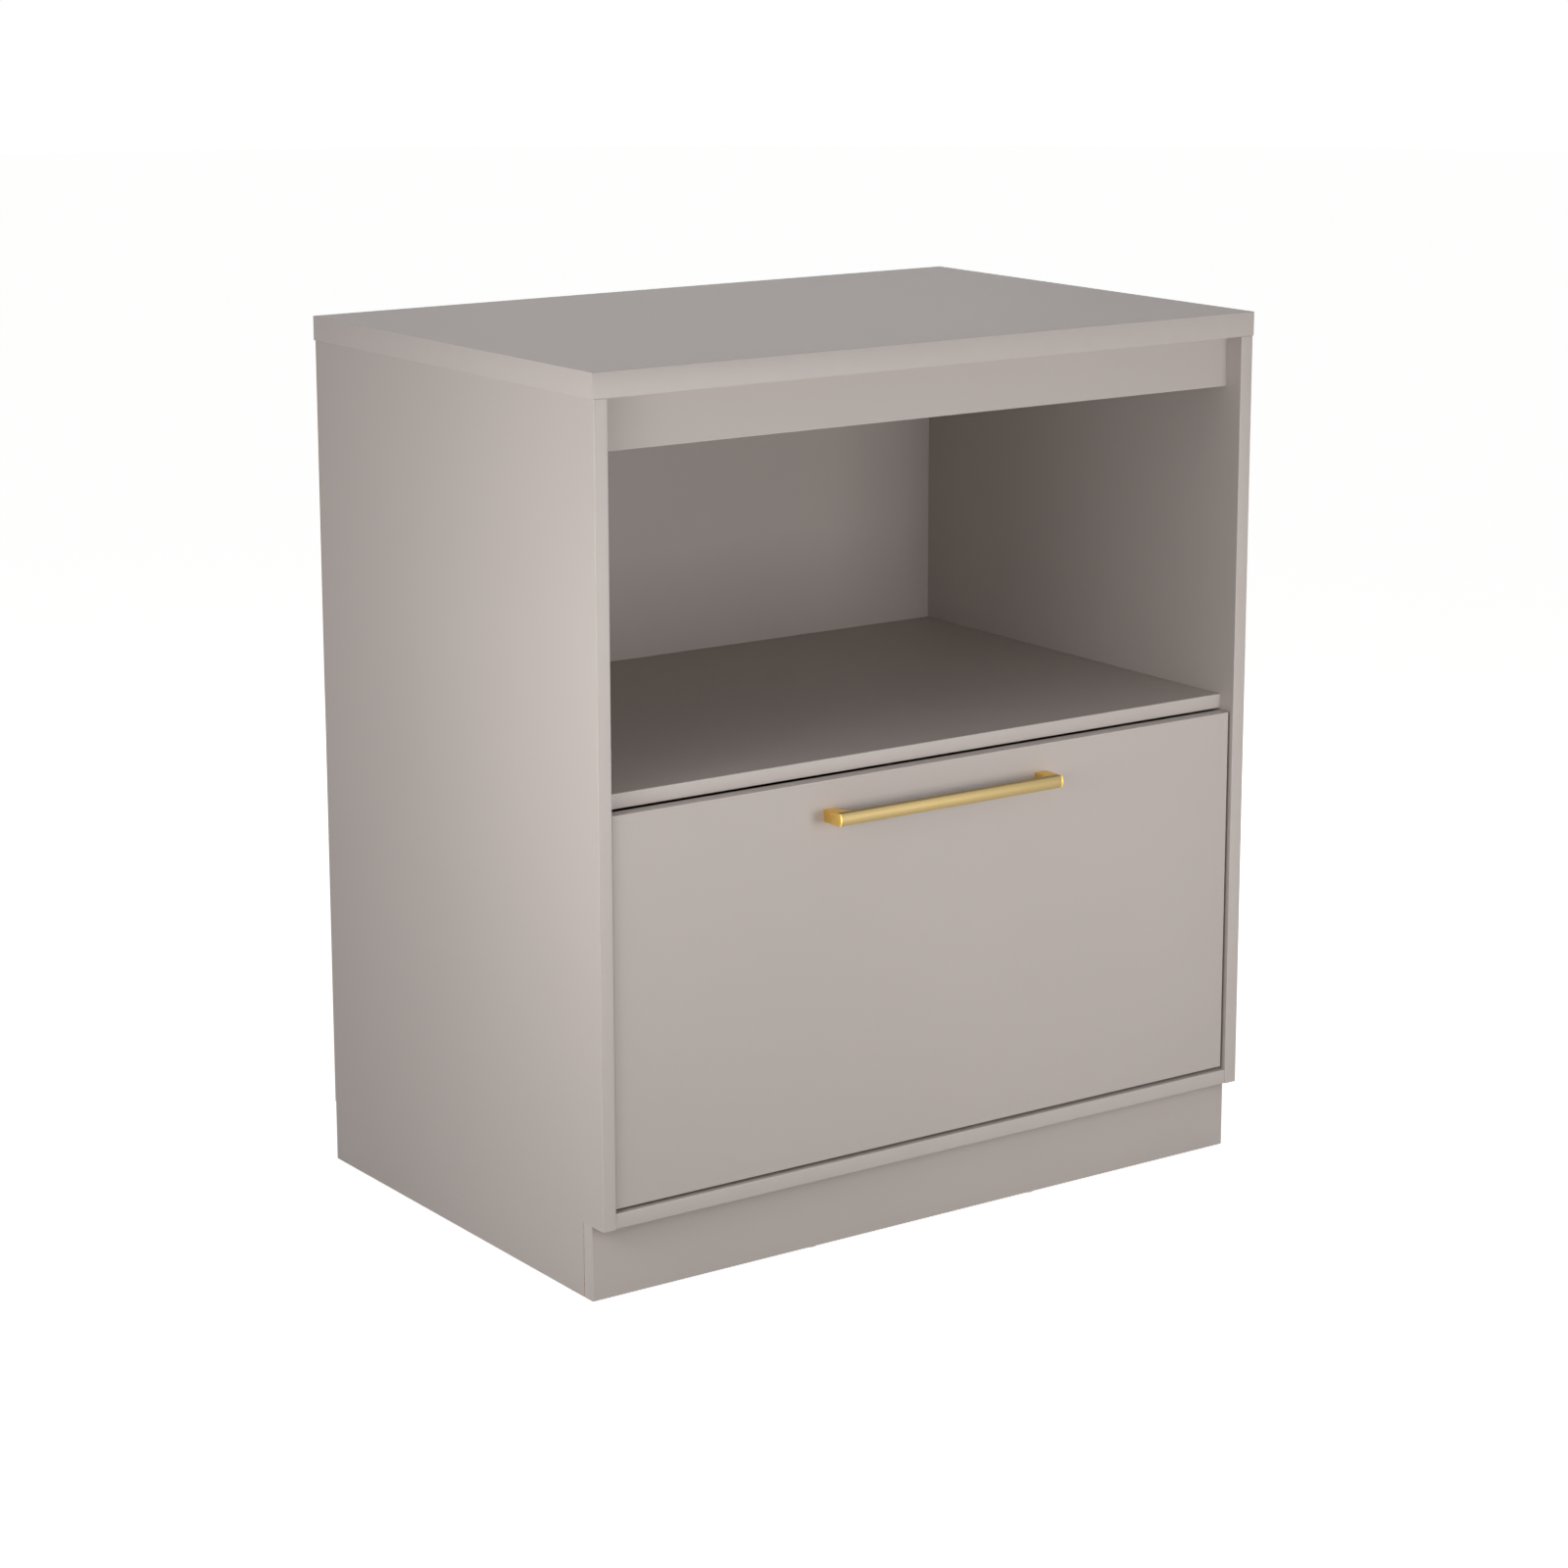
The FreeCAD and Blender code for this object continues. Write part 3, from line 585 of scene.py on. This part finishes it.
# Drawer front: the same 15 mm board as the carcass, inset between the sides. All four edges have the
# rounded strip, and an even gap runs round them.
dress("drawer_front", board_finishes["Y"])
edging_strips("drawer_front_edging", "drawer", all_round(*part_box("drawer_front_edging"), X, Z))

# Drawer box: two sides and a back in laminated board, lipped on the top edges, and a thin bottom that
# runs in grooves.
dress("drawer_left_side", board_finishes["X"])
dress("drawer_right_side", board_finishes["X"])
dress("drawer_back", board_finishes["Y"])
dress("drawer_bottom", board_finishes["Z"])
low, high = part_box("drawer_box_edging")
box_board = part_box("drawer_right_side")[1].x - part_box("drawer_right_side")[0].x
strips = []
for start, end in ((low.x, low.x + box_board), (high.x - box_board, high.x)):
    strips.append((Vector((start, low.y, low.z)), Vector((end, high.y, high.z)), Z))
strips.append((Vector((low.x + box_board, high.y - box_board, low.z)),
               Vector((high.x - box_board, high.y, high.z)), Z))
edging_strips("drawer_box_edging", "drawer", strips)
place_piece(copies(cam(), mouths("drawer_cams", inward)),
            "drawer_cam_drums", fitting_steel, "fitting_steel", "drawer", "drawer_cams")
place_piece(copies(cam_bolt(), mouths("drawer_cam_bolts", lambda middle: Y)),
            "drawer_threaded_bolts", fitting_steel, "fitting_steel", "drawer", "drawer_cam_bolts")


# Long screws: steel, with a flat head, a cross recess and a coarse wood thread. Two a side go through the
# drawer's sides into the ends of its back.
def flat_headed(radius, height, root, crest, length, pitch):
    """A flat-headed screw, its head a hair proud of Z = 0."""
    proud = 0.0002
    head = [(0, proud), (radius * 0.9, proud), (radius, proud / 2), (radius, 0), (crest, -height)]
    screw = threaded(head, root, crest, start=height, end=length, pitch=pitch)
    return carve(screw, *cross(radius=radius * 0.55, width=radius * 0.2, top=0.001, depth=height))


def to_side(middle):
    """Away from the middle of the cabinet."""
    return -inward(middle)


wood_screw = flat_headed(radius=0.0035, height=0.0025, root=0.0013, crest=0.0021, length=0.045,
                         pitch=0.0022)
place_piece(copies(wood_screw, mouths("drawer_back_screws", to_side)),
            "drawer_back_wood_screws", fitting_steel, "fitting_steel", "drawer", "drawer_back_screws")


# Handle: a D-shaped brass bar between two feet that close its ends. It is brushed along its length, and
# lightly lacquered, with fine arrises that catch the light.
def brass_finish(name, tone, marks_tone, roughness, stretch):
    """Brushed brass, stretch making its marks finer along an axis."""
    finish, shader, place = new_finish(name, Metallic=1)
    marks = place.noise(scale=60, detail=5, stretch=stretch)
    feed(shader, Base_Color=marks.mixed(tone, marks_tone), Roughness=roughness + 0.16 * marks,
         height=marks, depth=0.00001)
    return finish


bar_brass = brass_finish("brushed_brass_bar", tone=colour(169, 150, 110),
                         marks_tone=colour(152, 134, 91), roughness=0.53, stretch=(0.3, 60, 60))
# The feet are one brushed brass with the bar, but in a brighter, more orange tone: partly a tone of their
# own, and partly a painted highlight standing for the light that their end faces catch.
foot_brass_with_painted_highlight = brass_finish("brushed_brass_feet_with_painted_highlight", tone=colour(230, 196, 114),
                          marks_tone=colour(212, 174, 94), roughness=0.45, stretch=(40, 40, 1))
low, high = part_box("handle_bar")
bulge = 0.002
handle_arris = 0.0002
bar = cuboid(low, high)
pick(bar, "EDGE", lambda at, way: abs(way.z) > same_way and at.y < low.y + bulge)
bpy.ops.mesh.subdivide(number_cuts=15)
done()
half_height = (high.z - low.z) / 2
nose_radius = (half_height ** 2 + bulge ** 2) / (2 * bulge)
for vertex in bar.data.vertices:
    if vertex.co.y < low.y + bulge / 2:
        off_middle = vertex.co.z - (low.z + high.z) / 2
        vertex.co.y = low.y + nose_radius - math.sqrt(nose_radius ** 2 - off_middle ** 2)
place_piece(rounded(bar, handle_arris), "brushed_handle_bar", bar_brass, "brushed_brass", "drawer",
            "handle_bar")
for node in ("handle_left_foot", "handle_right_foot"):
    place_piece(softened(node, handle_arris), "brushed_" + node, foot_brass_with_painted_highlight, "brushed_brass", "drawer",
                node)
pan_head = threaded([(0, 0.0026), (0.0024, 0.00255), (0.0036, 0.0020), (0.0041, 0.0010), (0.0042, 0),
                     (0.0020, 0)], root=0.0017, crest=0.0020, start=0.0005, end=0.025, pitch=0.0009)
carve(pan_head, *cross(radius=0.0020, width=0.0009, top=0.003, depth=-0.0012))
place_piece(copies(pan_head, heads("handle_screws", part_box("drawer_front")[1].y)),
            "handle_pan_head_screws", fitting_steel, "fitting_steel", "drawer", "handle_screws")

# Runners: three rolled channels a side, bright zinc over 1.2 mm steel. Their webs are punched with the
# slots and holes that other screw patterns need.
zinc = metal_finish("zinc_steel", colour(184, 187, 190), roughness=0.34, scale=90, stretch=(1, 0.4, 1))
slot_width = 0.0050
cutter_reach = 0.0018


def punch(at, length, width):
    """A cutter with round ends, lying along Y across a web."""
    half = Vector((cutter_reach, length / 2, width / 2))
    cutter = cuboid(at - half, at + half)
    pick(cutter, "EDGE", lambda middle, way: abs(way.x) > same_way)
    bpy.ops.mesh.bevel(offset=width * 0.499, segments=6)
    done()
    return cutter


# each hole's distance from its channel's front end, and its length
holes = {
    "cabinet": ((0.067, 0.012), (0.099, 0.0055), (0.163, 0.012), (0.195, 0.0055), (0.291, 0.012),
                (0.323, 0.0055), (0.387, 0.012)),
    "middle": ((0.020, 0.008), (0.131, 0.005), (0.323, 0.005), (0.420, 0.008)),
    "drawer": ((0.067, 0.012), (0.195, 0.012), (0.259, 0.0055), (0.323, 0.012), (0.387, 0.0055))}
for side in ("left", "right"):
    for channel, body in (("cabinet", "cabinet"), ("middle", side + "_middle_channel"),
                          ("drawer", "drawer")):
        node = side + "_runner_" + channel + "_channel"
        low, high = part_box(node)
        web_x = low.x if (side == "left") != (channel == "drawer") else high.x
        web_z = (low.z + high.z) / 2
        cutters = [punch(Vector((web_x, low.y + along, web_z)), length, min(length, slot_width))
                   for along, length in holes[channel]]
        place_piece(carve(merged_copy(node), *cutters), node + "_punched", zinc, "zinc_steel", body, node)

# Ball cages: a strip folded from 0.5 mm steel, with an open claw for each ball, twelve to a row. They
# keep the hardened balls apart in the races between the channels.
ball_steel = metal_finish("bearing_steel", colour(226, 228, 230), roughness=0.1, scale=400)
runner_z = 0.167
balls_in_row = 12
ball_steps = 8
sheet = 0.0005
end_margin = 0.015
claw_room = 0.0001
tolerance = 1e-5


def cage_and_balls(side, kind, web_u, lip_u, lip_v, ball_u, ball_v, radius):
    """A cage and its balls. u runs from the side panel towards the drawer, and v up from the middle."""
    hand = -1 if side == "left" else 1
    name = side + "_" + kind
    cage_low, cage_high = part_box(name + "_cage")
    first = cage_low.y + end_margin
    pitch = (cage_high.y - cage_low.y - 2 * end_margin) / (balls_in_row - 1)
    claw = radius + claw_room
    section = [(lip_u, -lip_v), (ball_u - claw, -lip_v), (web_u, -lip_v), (web_u, lip_v),
               (ball_u - claw, lip_v), (lip_u, lip_v)]
    front_end = first - pitch / 2
    cage = chain("cage", [(hand * (side_inner_x - u), front_end, runner_z + v) for u, v in section])
    for width in (pitch / 2 - claw, 2 * claw, pitch / 2 - claw):
        bpy.ops.mesh.extrude_region_move(TRANSFORM_OT_translate={"value": Y * width})
    bpy.ops.mesh.select_all(action="SELECT")
    bpy.ops.mesh.normals_make_consistent(inside=False)
    done()
    pick(cage, "FACE", lambda at, normal: abs(at.y - first) < claw
         and side_inner_x - hand * at.x > ball_u - claw)
    bpy.ops.mesh.delete(type="FACE")
    done()
    repeat = cage.modifiers.new("repeat", "ARRAY")
    repeat.count, repeat.use_relative_offset, repeat.use_constant_offset = balls_in_row, False, True
    repeat.constant_offset_displace = (0, pitch, 0)
    repeat.use_merge_vertices, repeat.merge_threshold = True, tolerance
    select_only(cage)
    bpy.ops.object.modifier_apply(modifier="repeat")
    for vertex in cage.data.vertices:
        if vertex.co.y < first - claw - tolerance:
            vertex.co.y = cage_low.y
        elif vertex.co.y > cage_high.y - end_margin + claw + tolerance:
            vertex.co.y = cage_high.y
    fold = cage.modifiers.new("fold", "SOLIDIFY")
    fold.thickness, fold.offset = sheet, -1
    bpy.ops.object.modifier_apply(modifier="fold")
    place_piece(cage, name + "_clawed_cage", zinc, "zinc_steel", name + "_cage", name + "_cage")
    angles = [math.pi * step / ball_steps for step in range(ball_steps + 1)]
    ball = turned([(radius * math.sin(angle), -radius * math.cos(angle)) for angle in angles],
                  steps=2 * ball_steps)
    ball_x = hand * (side_inner_x - ball_u)
    places = [(Vector((ball_x, first + pitch * count, runner_z + row * ball_v)), Z)
              for row in (-1, 1) for count in range(balls_in_row)]
    place_piece(copies(ball, places), name + "_round_balls", ball_steel, "bearing_steel", name + "_cage",
                name + "_balls")


for side in ("left", "right"):
    cage_and_balls(side, "outer", web_u=0.00155, lip_u=0.00735, lip_v=0.01965,
                   ball_u=0.0064, ball_v=0.0194, radius=0.0018)
    cage_and_balls(side, "inner", web_u=0.0042, lip_u=0.0090, lip_v=0.01575,
                   ball_u=0.0082, ball_v=0.0147, radius=0.0015)

# Release levers and buffers: a lever of black moulded plastic turns on the rivet of each drawer channel.
# A rubber buffer sits in the rear end of each cabinet channel.
black_plastic = moulded_finish("black_plastic", colour(38, 38, 40), roughness=0.35, scale=900)
for side in ("left", "right"):
    lever = side + "_release_lever"
    place_piece(softened(lever, width=0.0004), lever + "_moulded", black_plastic, "black_plastic", lever,
                lever)
black_rubber = moulded_finish("black_rubber", colour(30, 30, 30), roughness=0.7, scale=500)
place_piece(softened("runner_buffers", width=0.0006), "rubber_buffers", black_rubber, "black_rubber",
            "cabinet", "runner_buffers")

# Runner screws: short steel ones with flat heads, sunk in the channels' webs. They hold one channel to
# the cabinet's side and the other to the drawer's.
for node, body, way in (("runner_cabinet_screws", "cabinet", inward),
                        ("runner_drawer_screws", "drawer", to_side)):
    short_screw = flat_headed(radius=0.0036, height=0.0012, root=0.0011, crest=0.0017, length=0.0127,
                              pitch=0.0016)
    place_piece(copies(short_screw, mouths(node, way)), node + "_flat_headed", fitting_steel,
                "fitting_steel", body, node)

# Floor, light and camera, which aren't part of the object. Only the camera and mirror-like surfaces see
# the floor and the backdrop as white, so that no more light falls on the cabinet for it.
black = (0, 0, 0, 1)
white = (1, 1, 1, 1)
floor_glow = (0.86, 0.86, 0.86, 1)
ambient = 0.28


def seen(tree):
    """1 where a ray comes from the camera, or from a glossy or clear surface."""
    rays = tree.nodes.new("ShaderNodeLightPath").outputs
    straight = Signal(rays["Is Camera Ray"])
    return straight.maths("MAXIMUM", straight, straight.maths(
        "MAXIMUM", Signal(rays["Is Glossy Ray"]), Signal(rays["Is Transmission Ray"])))


select_only()
bpy.ops.mesh.primitive_circle_add(vertices=64, radius=14, fill_type="NGON")
floor = bpy.context.object
floor.name = "studio_floor"
finish, shader, place = new_finish("studio_floor", Roughness=1, Specular_IOR_Level=0)
shader.inputs["Base Color"].default_value = colour(180, 179, 178)
shader.inputs["Emission Strength"].default_value = 1
feed(shader, Emission_Color=seen(finish.node_tree).mixed(black, floor_glow))
floor.data.materials.append(finish)

world = bpy.data.worlds.new("studio")
bpy.context.scene.world = world
world.use_nodes = True
sky = world.node_tree.nodes["Background"]
sky.inputs["Color"].default_value = white
strength = ambient + (1 - ambient) * seen(world.node_tree)
world.node_tree.links.new(strength.socket, sky.inputs["Strength"])


def softbox(name, at, aim, size, power):
    """A square soft light at a place, aimed at a point."""
    light = bpy.data.lights.new(name, "AREA")
    light.size, light.energy = size, power
    lamp = bpy.data.objects.new(name, light)
    lamp.location, lamp.visible_camera = at, False
    lamp.rotation_euler = (Vector(aim) - Vector(at)).to_track_quat("-Z", "Y").to_euler()
    bpy.context.scene.collection.objects.link(lamp)


softbox("key_light", at=(0.5, -1.5, 0.4), aim=(0.1, -0.2, 0.5), size=0.4, power=5.8)
softbox("niche_light", at=(0.3, -1.2, 0.66), aim=(0, 0.2, 0.66), size=0.3, power=2.45)
softbox("foot_light", at=(0, -1.3, 0.18), aim=(0, -0.2, 0.5), size=0.3, power=0.3)
softbox("corner_light", at=(-0.7, -1.0, 0.7), aim=(-0.38, -0.25, 0.62), size=0.3, power=0.8)
softbox("top_light", at=(-0.2, -0.2, 2.4), aim=(0, 0, 0.9), size=1.4, power=5.1)
softbox("left_light", at=(-1.8, -0.3, 1.4), aim=(-0.4, 0, 0.7), size=1.0, power=2.3)
softbox("low_left_light", at=(-1.2, -0.4, 0.6), aim=(-0.4, -0.3, 0.6), size=0.5, power=4.0)
softbox("near_left_light", at=(-1.0, -0.6, 0.65), aim=(-0.4, -0.25, 0.6), size=0.4, power=2.0)
softbox("right_light", at=(2.0, 0.5, 0.5), aim=(0.4, 0.1, 0.45), size=0.8, power=12)
softbox("back_light", at=(1.3, 2.0, 0.5), aim=(0.2, 0.2, 0.5), size=1.0, power=16)

eye = bpy.data.cameras.new("photo_camera")
eye.lens, eye.sensor_width, eye.shift_y = 88.841, 36, -0.08
eye.clip_start, eye.clip_end = 0.1, 100
camera = bpy.data.objects.new("photo_camera", eye)
stands = Vector((-2.26061, -3.20480, 1.37121))
looks = Vector((0.562235, 0.800726, -0.206711))
right = Vector((0.818241, -0.574873, -0.001317))
turn = Matrix((right, right.cross(looks), -looks)).transposed()
camera.matrix_world = Matrix.Translation(stands) @ turn.to_4x4()
bpy.context.scene.collection.objects.link(camera)
bpy.context.scene.camera = camera
bpy.context.scene.view_settings.view_transform = "Standard"
